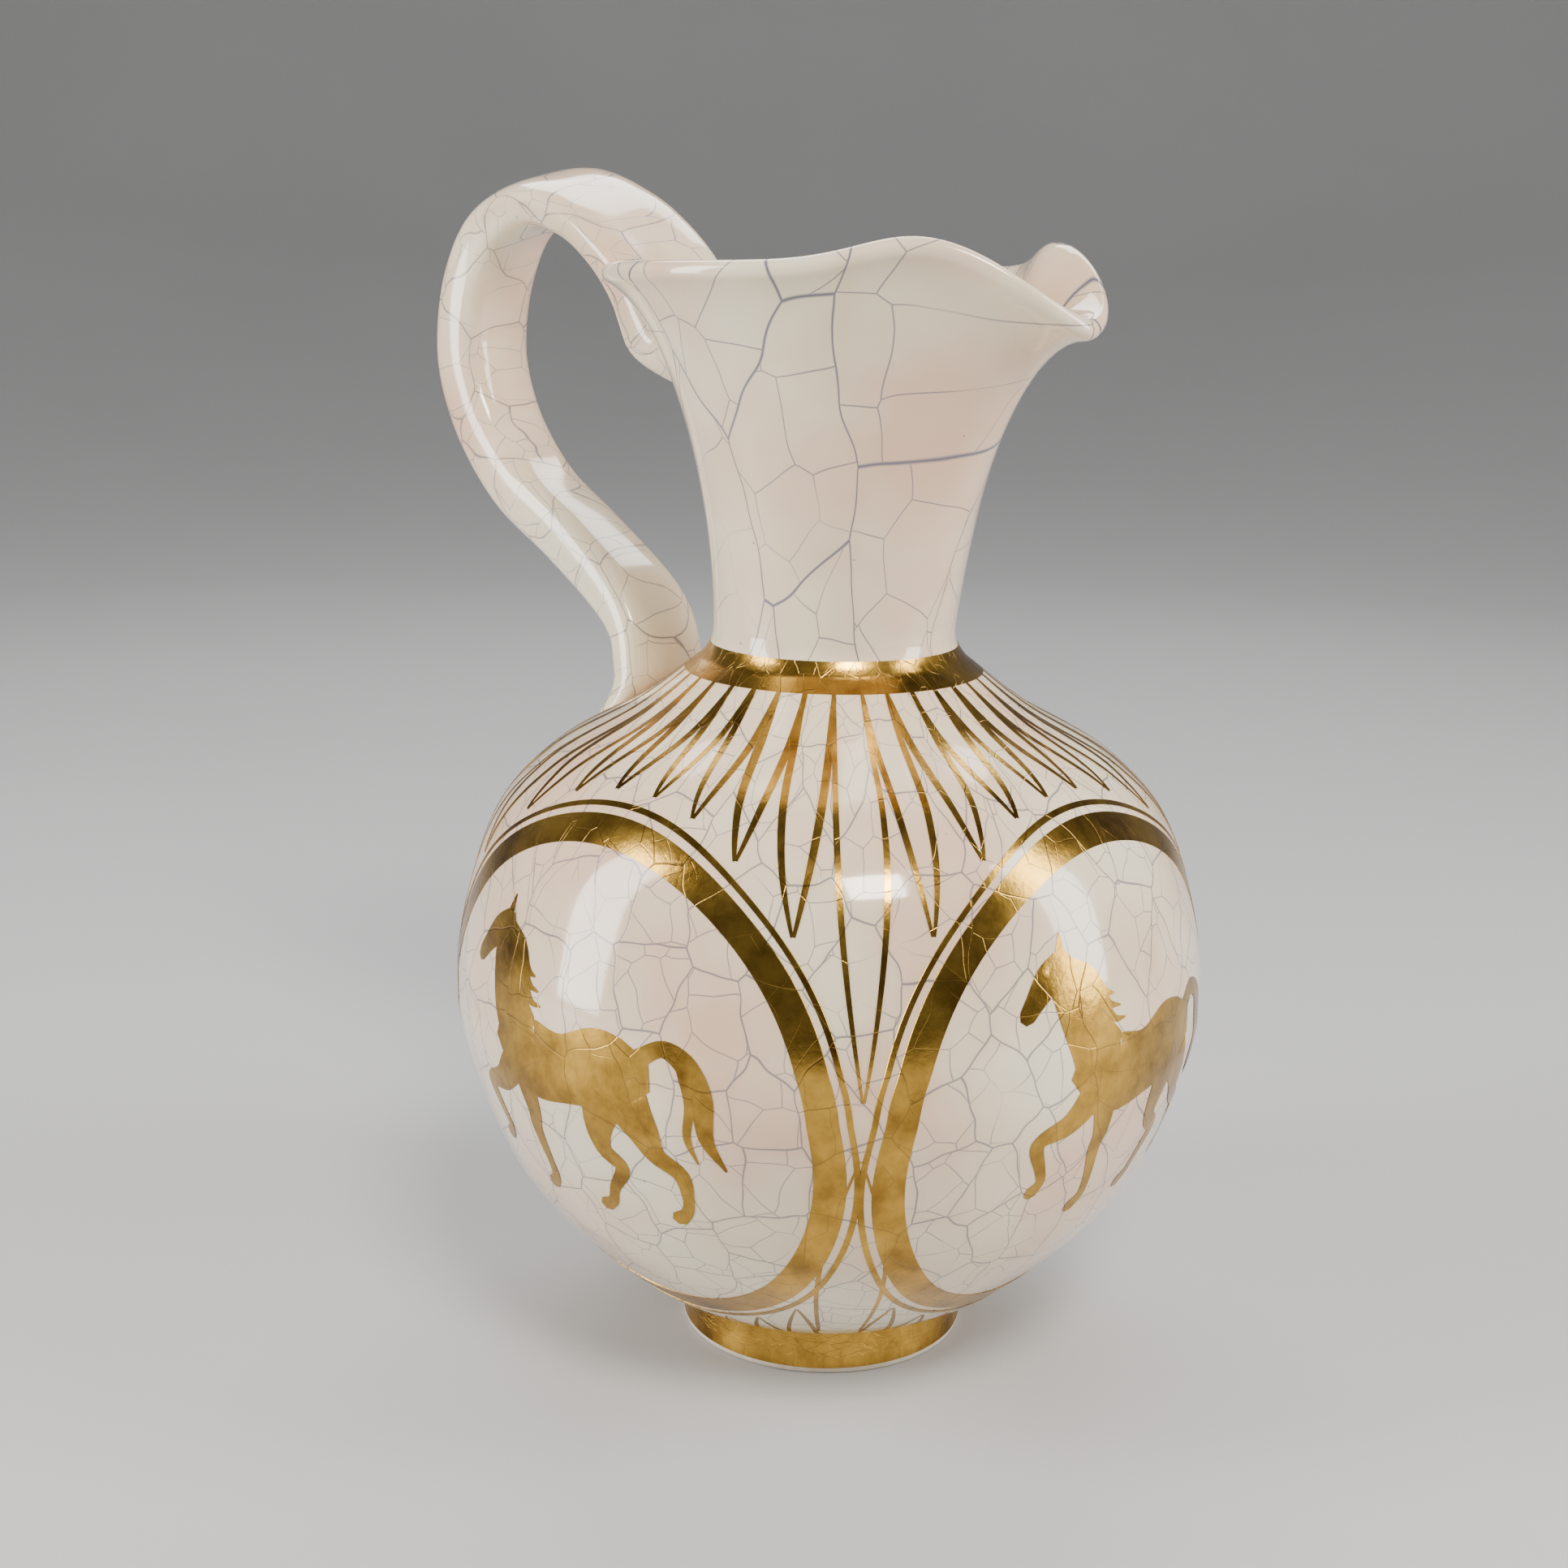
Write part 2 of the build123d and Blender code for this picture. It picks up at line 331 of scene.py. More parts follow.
def crazing():
    """A group with two generations of cracks, each line as wide as asked for."""
    tree, start, end = new_group(
        "craze", [("Vector", "Vector", None), ("Density", "Float", 45.0), ("Width", "Float", 0.010),
                  ("Wander", "Float", 0.006), ("Grain", "Vector", (1, 1, 1))],
        [("Cracks", "Float"), ("Stain", "Float")])
    wander = noise_on(tree, start.outputs["Vector"], (-900, -200), Detail=2.0)
    tree.links.new(math_node(tree, "MULTIPLY", start.outputs["Density"], wave_share, (-1100, -200)),
                   wander.inputs["Scale"])
    centred = vector_node(tree, "SUBTRACT", wander.outputs["Color"], (0.5, 0.5, 0.5), (-700, -200))
    push = node(tree, "ShaderNodeVectorMath", (-500, -200), operation="SCALE")
    tree.links.new(centred, push.inputs[0])
    tree.links.new(start.outputs["Wander"], push.inputs["Scale"])
    moved = vector_node(tree, "ADD", start.outputs["Vector"], push.outputs[0], (-300, 0))
    drawn_out = vector_node(tree, "MULTIPLY", moved, start.outputs["Grain"], (-150, 200))

    old, distance, tiles = crack_net(tree, drawn_out, start.outputs["Density"],
                                     start.outputs["Width"], (0, 300))
    jump = vector_node(tree, "ADD", moved, tiles, (300, 0))
    closer = math_node(tree, "MULTIPLY", start.outputs["Density"], young_closer, (200, -200))
    wider = math_node(tree, "MULTIPLY", start.outputs["Width"], young_wider, (200, -350))
    young, _, _ = crack_net(tree, jump, closer, wider, (500, -100))
    patches = noise_on(tree, start.outputs["Vector"], (450, -600), Detail=1.0)
    tree.links.new(math_node(tree, "MULTIPLY", start.outputs["Density"], patch_share, (200, -600)),
                   patches.inputs["Scale"])
    present = map_range(tree, patches.outputs["Fac"], (650, -600), From_Min=patch_from,
                        From_Max=patch_full)
    faint = math_node(tree, "MULTIPLY", young, present.outputs["Result"], (850, -200))
    faint = math_node(tree, "MULTIPLY", faint, young_faint, (1000, -200))
    tree.links.new(math_node(tree, "MAXIMUM", old, faint, (1150, 100)), end.inputs["Cracks"])
    soak = map_range(tree, distance, (450, 500), From_Max=soak_reach, To_Min=1.0, To_Max=0.0)
    tree.links.new(soak.outputs["Result"], end.inputs["Stain"])
    return tree


craze = crazing()

# %% [markdown]
# ## Ivory glaze
# The glaze is a glossy coat over warm clay. Its colour drifts between cream and a faint pink
# where the coat is thin, and tiny pinholes pierce it. One function makes the finish for each
# piece, because the cracks are wide apart on the neck and close together on the globe.


# %% Ivory glaze
def pot_place(tree, radius, middle, bulge):
    """The unrolled place on a round piece."""
    where = node(tree, "ShaderNodeTexCoord", (-1500, 300)).outputs["Object"]
    rolled = node(tree, "ShaderNodeGroup", (-1200, 300), node_tree=unroll)
    for key, value in (("Radius", radius), ("Middle", middle), ("Bulge", bulge)):
        rolled.inputs[key].default_value = value
    tree.links.new(where, rolled.inputs["Vector"])
    return rolled.outputs["Vector"]


strap_girth, strap_length = 60.0, 300.0


def strap_place(tree):
    """The unrolled place on the strap, from its own map: round it and along it, in metres."""
    where = node(tree, "ShaderNodeUVMap", (-1500, 300)).outputs["UV"]
    size = (strap_girth * MM, strap_length * MM, 1.0)
    return vector_node(tree, "MULTIPLY", where, size, (-1200, 300))


def crackle(tree, place, density, width, wander, grain):
    """The craze group in a material, with its own values."""
    net = node(tree, "ShaderNodeGroup", (-900, 200), node_tree=craze)
    values = {"Density": density, "Width": width, "Wander": wander, "Grain": grain}
    for key, value in values.items():
        net.inputs[key].default_value = value
    tree.links.new(place(tree), net.inputs["Vector"])
    return net


def tinted(tree, share, colour, over, place, blend="MIX"):
    """Lays a plain colour over another one, by a share from 0 to 1."""
    mix = node(tree, "ShaderNodeMix", place, data_type="RGBA", blend_type=blend)
    mix.inputs[7].default_value = colour
    tree.links.new(share, mix.inputs[0])
    tree.links.new(over, mix.inputs[6])
    return mix.outputs[2]


# colours of the glaze where it is thin and thick, of its stains, cracks and pinholes
thin_glaze, thick_glaze = (0.80, 0.54, 0.37, 1), (0.88, 0.78, 0.57, 1)
stain_tint, crack_ink = (0.90, 0.84, 0.78, 1), (0.13, 0.13, 0.18, 1)
pinhole_brown = (0.30, 0.17, 0.08, 1)


def ivory_glaze(name, place, density, width, wander, ink, grain):
    """The crackle glaze with cracks of one density, darkened by ink from 0 to 1."""
    material, tree, shader = new_finish(name)
    where = node(tree, "ShaderNodeTexCoord", (-1400, 0)).outputs["Object"]
    net = crackle(tree, place, density, width, wander, grain)

    drift = noise_on(tree, where, (-900, -100), Scale=22.0, Detail=3.0).outputs["Fac"]
    colour = ramp(tree, drift, (-700, -100), (0.36, thin_glaze), (0.62, thick_glaze))
    stained = math_node(tree, "MULTIPLY", net.outputs["Stain"], 0.3, (-600, 250))
    colour = tinted(tree, stained, stain_tint, colour, (-400, 100), "MULTIPLY")
    inked = math_node(tree, "MULTIPLY", net.outputs["Cracks"], ink, (-400, 350))
    colour = tinted(tree, inked, crack_ink, colour, (-200, 100))

    holes = node(tree, "ShaderNodeTexVoronoi", (-900, -400), feature="F1", Scale=95.0)
    tree.links.new(where, holes.inputs["Vector"])
    speck = map_range(tree, holes.outputs["Distance"], (-700, -400), From_Min=0.018,
                      From_Max=0.032, To_Min=1.0, To_Max=0.0).outputs["Result"]
    dotted = math_node(tree, "MULTIPLY", speck, 0.8, (-500, -400))
    colour = tinted(tree, dotted, pinhole_brown, colour, (0, 100))
    tree.links.new(colour, shader.inputs["Base Color"])

    # the coat ripples, and sinks a little at each crack and more at each pinhole
    ripple = noise_on(tree, where, (-900, -700), Scale=60.0, Detail=1.5).outputs["Fac"]
    height = math_node(tree, "MULTIPLY", ripple, 0.9, (-700, -700))
    for sinks, depth, row in ((net.outputs["Cracks"], 0.05, -600), (speck, 0.3, -800)):
        sunken = math_node(tree, "MULTIPLY", sinks, depth, (-500, row))
        height = math_node(tree, "SUBTRACT", height, sunken, (-300, row))
    bumped(tree, shader, height, 0.35, 0.0006)
    roughened(tree, shader, drift, 0.07, 0.16)
    shader.inputs["IOR"].default_value = 1.52
    shader.inputs["Coat Weight"].default_value = 0.5
    shader.inputs["Coat Roughness"].default_value = 0.04
    return material


globe_middle, globe_bulge = 85.0, 84.0
neck_mean_radius, neck_middle = 34.0, 190.0
# a bulge as long as this stretches nothing, as on a plain tube
tube_bulge = 4000.0


def globe_place(tree):
    """The unrolled place on the globe, which the gold over it shares."""
    return pot_place(tree, belly_radius * MM, globe_middle * MM, globe_bulge * MM)


def tube_place(tree):
    """The unrolled place on the neck, as if it were a plain tube."""
    return pot_place(tree, neck_mean_radius * MM, neck_middle * MM, tube_bulge * MM)


# cracks for each metre of the globe, how far they wander, and how its cells are drawn out
globe_density, globe_wander, globe_grain = 72.0, 0.008, (1, 0.8, 1)
globe_glaze = ivory_glaze("ivory glaze, close crackle", globe_place, globe_density, width=0.020,
                          wander=globe_wander, ink=0.85, grain=globe_grain)
neck_glaze = ivory_glaze("ivory glaze, wide crackle", tube_place, 40.0, width=0.012,
                         wander=0.012, ink=1.0, grain=(1, 0.45, 1))
handle_glaze = ivory_glaze("ivory glaze, strap crackle", strap_place, 64.0, width=0.019,
                           wander=0.008, ink=0.8, grain=(1, 0.7, 1))
print("glazes", globe_glaze.name, "|", neck_glaze.name, "|", handle_glaze.name)

# %% [markdown]
# ## Gold lustre
# Lustre is a metal film brushed over the glaze and fired. It is never even: it is thin and
# brown where the brush lifted, and bright where it was loaded, and the cracks of the glaze
# below show through it as fine lines.


# %% Gold lustre
thin_gold, loaded_gold = (0.19, 0.095, 0.015, 1), (0.66, 0.39, 0.07, 1)
cracked_gold = (0.20, 0.12, 0.04, 1)


def gold_lustre():
    """The fired gold film."""
    material, tree, shader = new_finish("gold lustre")
    where = node(tree, "ShaderNodeTexCoord", (-1400, 0)).outputs["Object"]
    net = crackle(tree, globe_place, globe_density, 0.014, globe_wander, globe_grain)
    cloud = noise_on(tree, where, (-900, -100), Scale=75.0, Detail=5.0, Roughness=0.65)
    cloud = cloud.outputs["Fac"]
    colour = ramp(tree, cloud, (-700, -100), (0.30, thin_gold), (0.66, loaded_gold))
    shown = math_node(tree, "MULTIPLY", net.outputs["Cracks"], 0.6, (-500, 300))
    colour = tinted(tree, shown, cracked_gold, colour, (-300, 100))
    tree.links.new(colour, shader.inputs["Base Color"])
    roughened(tree, shader, cloud, 0.12, 0.30)
    grain = noise_on(tree, where, (-900, -450), Scale=900.0, Detail=3.0).outputs["Fac"]
    height = math_node(tree, "SUBTRACT", grain, net.outputs["Cracks"], (-400, -450))
    bumped(tree, shader, height, 0.5, 0.00006)
    shader.inputs["Metallic"].default_value = 1.0
    return material


gold = gold_lustre()
print("gilding", gold.name)

# %% [markdown]
# ## Bare clay
# Glaze would glue the foot to the kiln shelf, so the foot's standing edge stays bare. Dry clay
# is rough and faintly speckled, and one fine noise is enough for its colour and its tooth.


# %% Bare clay
def bare_clay():
    """The unglazed clay of the foot's standing edge."""
    material, tree, shader = new_finish("bare clay")
    where = node(tree, "ShaderNodeTexCoord", (-900, 0)).outputs["Object"]
    speckle = noise_on(tree, where, (-700, 0), Scale=420.0, Detail=4.0).outputs["Fac"]
    colour = ramp(tree, speckle, (-450, 0), (0, (0.62, 0.52, 0.38, 1)), (1, (0.86, 0.78, 0.62, 1)))
    tree.links.new(colour, shader.inputs["Base Color"])
    bumped(tree, shader, speckle, 0.4, 0.0001)
    shader.inputs["Roughness"].default_value = 0.75
    return material


clay = bare_clay()

# %% [markdown]
# ## The globe
# The globe is thrown on the wheel, so it is a turned form: one outline, spun round the axis.
# The outline runs up the outside, over the seat of the neck and down the inside to the floor.

# %% Outline of the globe
# the shares give the outline's reach beside the belly's radius and its rise beside the height
globe_wall = 4.5
floor_thickness = 6.0
neck_wall = 3.8
foot_waist_radius = 30.0
neck_seat_radius = 28.0
globe_shares = [(0.575, 0.069), (0.834, 0.222), (0.966, 0.395), (1.0, 0.545),
                (0.909, 0.745), (0.753, 0.851), (0.516, 0.929)]
globe_rise = seat_height - foot_height
globe_knots = [(foot_waist_radius, foot_height)]
for across, up in globe_shares:
    globe_knots.append((across * belly_radius, foot_height + up * globe_rise))
globe_knots.append((neck_seat_radius, seat_height))
globe_outside = through(globe_knots, 14)
globe_outside[:, 0] = np.minimum(globe_outside[:, 0], belly_radius)


def globe_radius(height):
    """Outer radius of the globe at a height."""
    return float(np.interp(height, globe_outside[:, 1], globe_outside[:, 0]))


def inside_of(outline, wall):
    """The outline moved inwards by the wall, square to itself."""
    run = np.gradient(outline, axis=0)
    run /= np.linalg.norm(run, axis=1)[:, None]
    return outline + wall * np.stack([-run[:, 1], run[:, 0]], axis=1)


# %% Globe
# inside, the wall rounds over into the throat and flattens out into the floor
floor_at = foot_height + floor_thickness
hollow = inside_of(globe_outside, globe_wall)
hollow = hollow[(hollow[:, 1] > floor_at + 1.0) & (hollow[:, 1] < seat_height - 4.0)]
throat_inside = neck_seat_radius - neck_wall
throat_turn = [(throat_inside, seat_height), (throat_inside + 3.4, seat_height - 2.2)]
floor_turn = [(18, floor_at + 0.3), (0, floor_at)]
down_inside = through([*throat_turn, *hollow[::-1][::6], *floor_turn], 5)
globe_outline = [(0, foot_height), (foot_waist_radius * 0.5, foot_height),
                 *globe_outside, *down_inside]
globe = finish_piece("glazed_globe", turned(globe_outline, 192), globe_glaze)
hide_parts("globe")

# %% [markdown]
# ## Foot ring
# The foot is turned from a thick coil. Its standing edge is wiped clean of glaze before the
# firing, so a thin line of bare clay shows below the gold.

# %% Foot ring
# the ring runs a hair into the globe, and its standing edge is rounded by foot_edge
foot_base_radius = 31.0
foot_ring_inside = 24.8
foot_edge = 0.8
foot_top = foot_height + 0.05
foot_side = bezier((foot_base_radius, foot_edge), (foot_base_radius - 0.2, 3.0),
                   (foot_waist_radius, 5.0), (foot_waist_radius, foot_top), 14)
foot_outline = [(foot_ring_inside, foot_edge), (foot_ring_inside + foot_edge * 0.3, 0.2),
                (foot_ring_inside + foot_edge, 0.0), (foot_base_radius - foot_edge, 0.0),
                (foot_base_radius - foot_edge * 0.3, 0.2), *foot_side, (foot_ring_inside, foot_top)]
foot = finish_piece("foot_ring_clay", turned(foot_outline, 160), clay)
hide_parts("foot_ring")

# %% [markdown]
# ## The neck and its pouring lip
# The neck was thrown round, and while it was soft the rim was pulled out into a lip and pushed
# up on both sides of it. So each upright section of the neck is its own curve: it leaves the
# round throat straight up and ends at the rim, whose reach and height depend on where round
# the axis it stands.

# %% Sections of the neck
throat_radius = 25.4
throat_height = seat_height + 7.0
# each of these is given at the sides, at the lip and at the handle
rim_reach = (42.1, 59.6, 49.2)
rim_height = (226.7, 215.6, 225.5)
rim_slope = (49.0, 1.5, 21.0)
rim_pull = (9.3, 17.0, 14.2)
throat_rise = (31.6, 23.9, 29.7)
throat_lean = (1.4, 5.9, 0.0)
# degrees to each side of the lip over which it reaches out, flares and drops
lip_spread, flare_spread, drop_spread = 23.0, 39.0, 16.5
hump_height, hump_place, hump_spread = 4.7, 30.5, 22.0


def neck_shape(turned_by):
    """The outside of the neck on one upright section, from the seat to the rim."""
    away = abs((math.degrees(turned_by) + 180.0) % 360.0 - 180.0)
    lip = math.exp(-((away / lip_spread) ** 2))
    flare = math.exp(-((away / flare_spread) ** 2))
    drop = math.exp(-((away / drop_spread) ** 2))
    hump = math.exp(-(((away - hump_place) / hump_spread) ** 2))
    rear = math.sin(math.radians(away / 2)) ** 4

    def mix(values, share):
        side, front, back = values
        return side + (front - side) * share + (back - side) * rear

    reach = mix(rim_reach, lip)
    top = mix(rim_height, drop) + hump_height * hump
    slope = math.radians(mix(rim_slope, lip))
    pull = mix(rim_pull, lip)
    rise = mix(throat_rise, flare)
    lean = mix(throat_lean, flare)
    throat = (throat_radius, throat_height)
    cove = bezier((neck_seat_radius, seat_height), (neck_seat_radius - 1.3, seat_height + 1.7),
                  (throat_radius - 0.1 * lean, throat_height - 4.0), throat, 9)
    below_rim = (reach - pull * math.cos(slope), top - pull * math.sin(slope))
    flared = bezier(throat, (throat_radius + lean, throat_height + rise),
                    below_rim, (reach, top), 44)
    return np.vstack([cove[:-1], flared])


# the wall is a little thicker at the rim, which is rounded in rim_steps
rim_thicker = 0.5
rim_steps = 11


def neck_section(turned_by):
    """A closed section of the neck's wall: outside, round lip, inside and back to the seat."""
    outside = neck_shape(turned_by)
    inside = inside_of(outside, neck_wall)
    inside[0] = (throat_inside, seat_height)
    swell = np.linspace(0, 1, len(inside))[:, None] ** 8
    inside += (inside - outside) / neck_wall * rim_thicker * swell
    middle = (outside[-1] + inside[-1]) / 2
    half = (outside[-1] - inside[-1]) / 2
    onward = np.array([-half[1], half[0]]) * np.sign(half[0])
    bead = [middle + half * math.cos(angle) + onward * math.sin(angle)
            for angle in np.linspace(0, math.pi, rim_steps)[1:-1]]
    return np.vstack([outside, bead, inside[::-1], outside[:1]])


neck_sections = 192
section_table = [neck_section(2 * math.pi * i / neck_sections) for i in range(neck_sections)]
section_rows = len(section_table[0])
print("neck", neck_sections, "sections of", section_rows, "points")


def neck_place(u, v):
    """Where the neck's grid goes: u round the axis, v round the section."""
    index = round(u * neck_sections) % neck_sections
    turned_by = 2 * math.pi * u
    radius, height = section_table[index][round(v * (section_rows - 1))]
    return (radius * math.cos(turned_by), radius * math.sin(turned_by), height)


# %% Neck
neck_mesh = bmesh.new()
wrap(neck_mesh, neck_sections, section_rows - 1, neck_place)
neck = finish_piece("glazed_neck", neck_mesh, neck_glaze)
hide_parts("neck")


def neck_radius(turned_by, height):
    """Outer radius of the neck at a height."""
    outside = neck_shape(turned_by)
    return float(np.interp(height, outside[:, 1], outside[:, 0]))


# %% [markdown]
# ## The handle
# A handle is pulled from a lump of clay into a strap, laid against the neck and the shoulder,
# and its ends are smeared out. The strap here is a sheet wrapped round a smooth path; at both
# ends its rows spread out and lie down on the pot, as the smeared clay does.

# %% Path and section of the strap
# across and up of the middle of the strap, its width, its thickness and its roll in degrees
strap_knots = [(-52.0, 141.0, 24.5, 10.0, 2), (-54.0, 149.5, 23.5, 10.7, 3),
               (-60.5, 157.0, 22.5, 12.2, 3), (-76.5, 168.0, 21.5, 13.2, 4),
               (-93.0, 178.2, 21.3, 13.9, 4), (-104.5, 190.8, 21.2, 14.4, 4),
               (-110.5, 204.0, 21.5, 14.6, 4), (-111.0, 216.0, 21.9, 14.4, 6),
               (-107.3, 228.7, 22.4, 14.0, 9), (-99.3, 239.0, 23.8, 12.4, 12),
               (-84.2, 244.6, 26.4, 10.2, 13), (-69.2, 240.8, 28.0, 8.6, 12),
               (-58.6, 233.9, 30.0, 8.6, 9), (-51.0, 225.3, 31.0, 10.8, 5),
               (-46.9, 216.0, 30.0, 13.4, 2)]
strap_line = through(strap_knots, 8)
strap_around = 64
strap_rows = 112
root_rows = 14
all_rows = strap_rows + 2 * root_rows
# powers below 1 square the oval section up, and the last stretch is bent to the neck's round
flat_power, side_power = 0.55, 0.6
bent_from, bent_radius = 0.82, 42.0


def on_circle(u):
    """Cosine and sine of a share of a full turn."""
    return math.cos(2 * math.pi * u), math.sin(2 * math.pi * u)


def squared(value, power):
    """A power of a value that keeps its sign."""
    return math.copysign(abs(value) ** power, value)


def strap_ring(share, u):
    """A point of the strap's skin at a share of its path, and the way the path goes there."""
    x, z, width, thickness, roll = along(strap_line, share)
    before = along(strap_line, max(share - 0.01, 0.0))
    after = along(strap_line, min(share + 0.01, 1.0))
    ahead = (after - before)[:2]
    ahead /= np.linalg.norm(ahead)
    c, s = on_circle(u)
    across = 0.5 * width * squared(c, flat_power)
    proud = 0.5 * thickness * squared(s, side_power)
    roll = math.radians(roll)
    aside = across * math.cos(roll) - proud * math.sin(roll)
    outwards = across * math.sin(roll) + proud * math.cos(roll)
    bent = max((share - bent_from) / (1 - bent_from), 0.0) * aside ** 2 / (2 * bent_radius)
    return (np.array([x + bent - ahead[1] * outwards, aside, z + ahead[0] * outwards]),
            np.array([ahead[0], 0.0, ahead[1]]))


# the prints are the outlines of the smeared clay: how far they spread to each side (degrees at
# the top), where their middles lie, how far they run on, and how deep they are pressed in
root_aside, root_radius, root_run, root_pressed = 23.0, 60.0, 12.0, 0.25
top_turned, top_height, top_run_up, top_run_down, top_pressed = 29.0, 213.5, 6.0, 13.0, 0.3
print_power = 0.8
# the outline of the globe above its belly, where each radius comes once
shoulder = globe_outside[70:]


def root_print(u):
    """Where the lower end's smeared edge meets the shoulder."""
    c, s = on_circle(u)
    across = root_aside * c
    radius = root_radius + root_run * s
    reach = math.hypot(radius, across)
    height = float(np.interp(-reach, -shoulder[:, 0], shoulder[:, 1]))
    return np.array([-radius, across, height - root_pressed])


def top_print(u):
    """Where the upper end's smeared edge meets the neck."""
    c, s = on_circle(u)
    spread = math.radians(180.0 - top_turned * squared(c, print_power))
    height = top_height + (top_run_up if s > 0 else top_run_down) * squared(s, print_power)
    radius = neck_radius(spread, height) - top_pressed
    return np.array([radius * math.cos(spread), radius * math.sin(spread), height])


smear_steps = 32


def smeared(edge, ring, heading, centre, share, feather, onward):
    """A point of the curve that lies down on the pot, from the smeared edge to the strap's end.

    It leaves the edge flat for about feather, and meets the strap straight for about onward.
    """
    outwards = edge - centre
    outwards /= max(np.linalg.norm(outwards), 1e-6)
    curve = bezier(edge, edge - outwards * feather, ring - heading * onward, ring, smear_steps + 1)
    return curve[round(share * smear_steps)]


root_centre = np.mean([root_print(u) for u in np.arange(32) / 32], axis=0)
top_centre = np.mean([top_print(u) for u in np.arange(32) / 32], axis=0)
root_feather, root_onward, top_feather, top_onward = 7.0, 5.0, 2.5, 8.0


def handle_place(u, v):
    """Where the handle's grid goes: u round the strap, v from the shoulder to the rim."""
    row = v * all_rows
    if row < root_rows:
        ring, ahead = strap_ring(0.0, u)
        return smeared(root_print(u), ring, ahead, root_centre, row / root_rows,
                       root_feather, root_onward)
    if row > strap_rows + root_rows:
        ring, ahead = strap_ring(1.0, u)
        return smeared(top_print(u), ring, -ahead, top_centre, (all_rows - row) / root_rows,
                       top_feather, top_onward)
    return strap_ring((row - root_rows) / strap_rows, u)[0]


# %% Handle
handle_mesh = bmesh.new()
wrap(handle_mesh, strap_around, all_rows, handle_place)
handle = finish_piece("glazed_handle", handle_mesh, handle_glaze)
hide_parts("handle")

# %% [markdown]
# ## Gold bands
# The bands follow the turned forms, so they are thin closed outlines spun like the pot itself.
# A film of real lustre has no thickness to see; a tenth of a millimetre keeps it clear of the
# glaze below.

# %% Bands
# the back of the gold lies this far inside the glaze
sunk = 0.12
band_segments = 160
bare_height = 0.85


def band_outline(side):
    """A thin closed outline round a stretch of a side."""
    outer = inside_of(np.array(side), -film)
    inner = inside_of(np.array(side), sunk)
    return [*outer, *inner[::-1]]


band_low, band_high = seat_height - 2.7, seat_height + 2.9
under = [(globe_radius(h), h) for h in np.linspace(band_low, seat_height, 6)[:-1]]
over = [(neck_radius(math.pi / 2, h), h) for h in np.linspace(seat_height, band_high, 6)]
neck_band = finish_piece("gilt_band_of_neck", turned(band_outline(under + over), band_segments),
                         gold)
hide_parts("gilt_neck_band")
gilt_side = [point for point in foot_side if point[1] > bare_height]
foot_band = finish_piece("gilt_band_of_foot", turned(band_outline(gilt_side), band_segments),
                         gold)
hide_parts("gilt_foot_band")

# %% [markdown]
# ## Painting on the globe
# The four medallions face the lip, the handle and both sides. Each is drawn flat, in its own
# plane, and every point is then pushed onto the globe along the way the medallion faces.

# %% Medallion planes
medallion_height = 77.0
medallion_tilt = math.radians(4.0)
medallion_count = 4
# a raised point also rises above the globe's middle and sinks below it, as the skin there faces
lean_reach = 80.0


def on_medallion(number, x, y, lift):
    """The point of the globe behind (x, y) of a medallion, raised by lift."""
    facing = 2 * math.pi * number / medallion_count
    height = medallion_height + y
    # the depth depends on the height and the height on the depth, so a few rounds settle both
    c, s = math.cos(medallion_tilt), math.sin(medallion_tilt)
    for _ in range(5):
        depth = math.sqrt(max((globe_radius(height) + lift) ** 2 - x * x, 0.0))
        forward = (depth - y * s) / c
        height = medallion_height + y * c - forward * s
    height += lift * (height - globe_middle) / lean_reach
    return (depth * math.cos(facing) - x * math.sin(facing),
            depth * math.sin(facing) + x * math.cos(facing), height)


# %% Rings
def painted_ring(mesh, number, inner, outer, around):
    """A closed ring of gold on one medallion."""
    rim = [(inner, -sunk), (inner, film), (inner * 0.7 + outer * 0.3, film),
           (inner * 0.3 + outer * 0.7, film), (outer, film), (outer, -sunk), (inner, -sunk)]

    def place(u, v):
        radius, lift = rim[round(v * (len(rim) - 1))]
        turned_by = 2 * math.pi * u
        x, y = radius * math.sin(turned_by), radius * math.cos(turned_by)
        return on_medallion(number, x, y, lift)

    wrap(mesh, around, len(rim) - 1, place)


ring_radius, ring_width = 53.5, 4.6
line_radius, line_width = 55.4, 0.8
ring_steps = 180
# films are thin, so their corners are welded over a shorter reach than clay
film_weld = 0.001
ring_mesh = bmesh.new()
line_mesh = bmesh.new()
for number in range(medallion_count):
    painted_ring(ring_mesh, number, ring_radius - ring_width, ring_radius, ring_steps)
    painted_ring(line_mesh, number, line_radius - line_width, line_radius, ring_steps)
rings = finish_piece("medallion_rings_gilt", ring_mesh, gold, film_weld)
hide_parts("medallion_rings")
finish_piece("fine_rings", line_mesh, gold, film_weld)

# %% [markdown]
# ## Lancets
# From the band at the neck, thirty-six long narrow points run down the shoulder. Each stops
# just short of the fine ring below it, so they grow longer towards the gaps between the
# medallions. They are brush strokes: thin where the brush lands and lifts, full in between.


# %% Brush strokes
def globe_point(turned_by, height):
    """A point on the globe, by its angle round the axis and its height."""
    radius = globe_radius(height)
    return np.array([radius * math.cos(turned_by), radius * math.sin(turned_by), height])


# share of its width that a stroke keeps where the brush lands and lifts
tip_share = 0.22


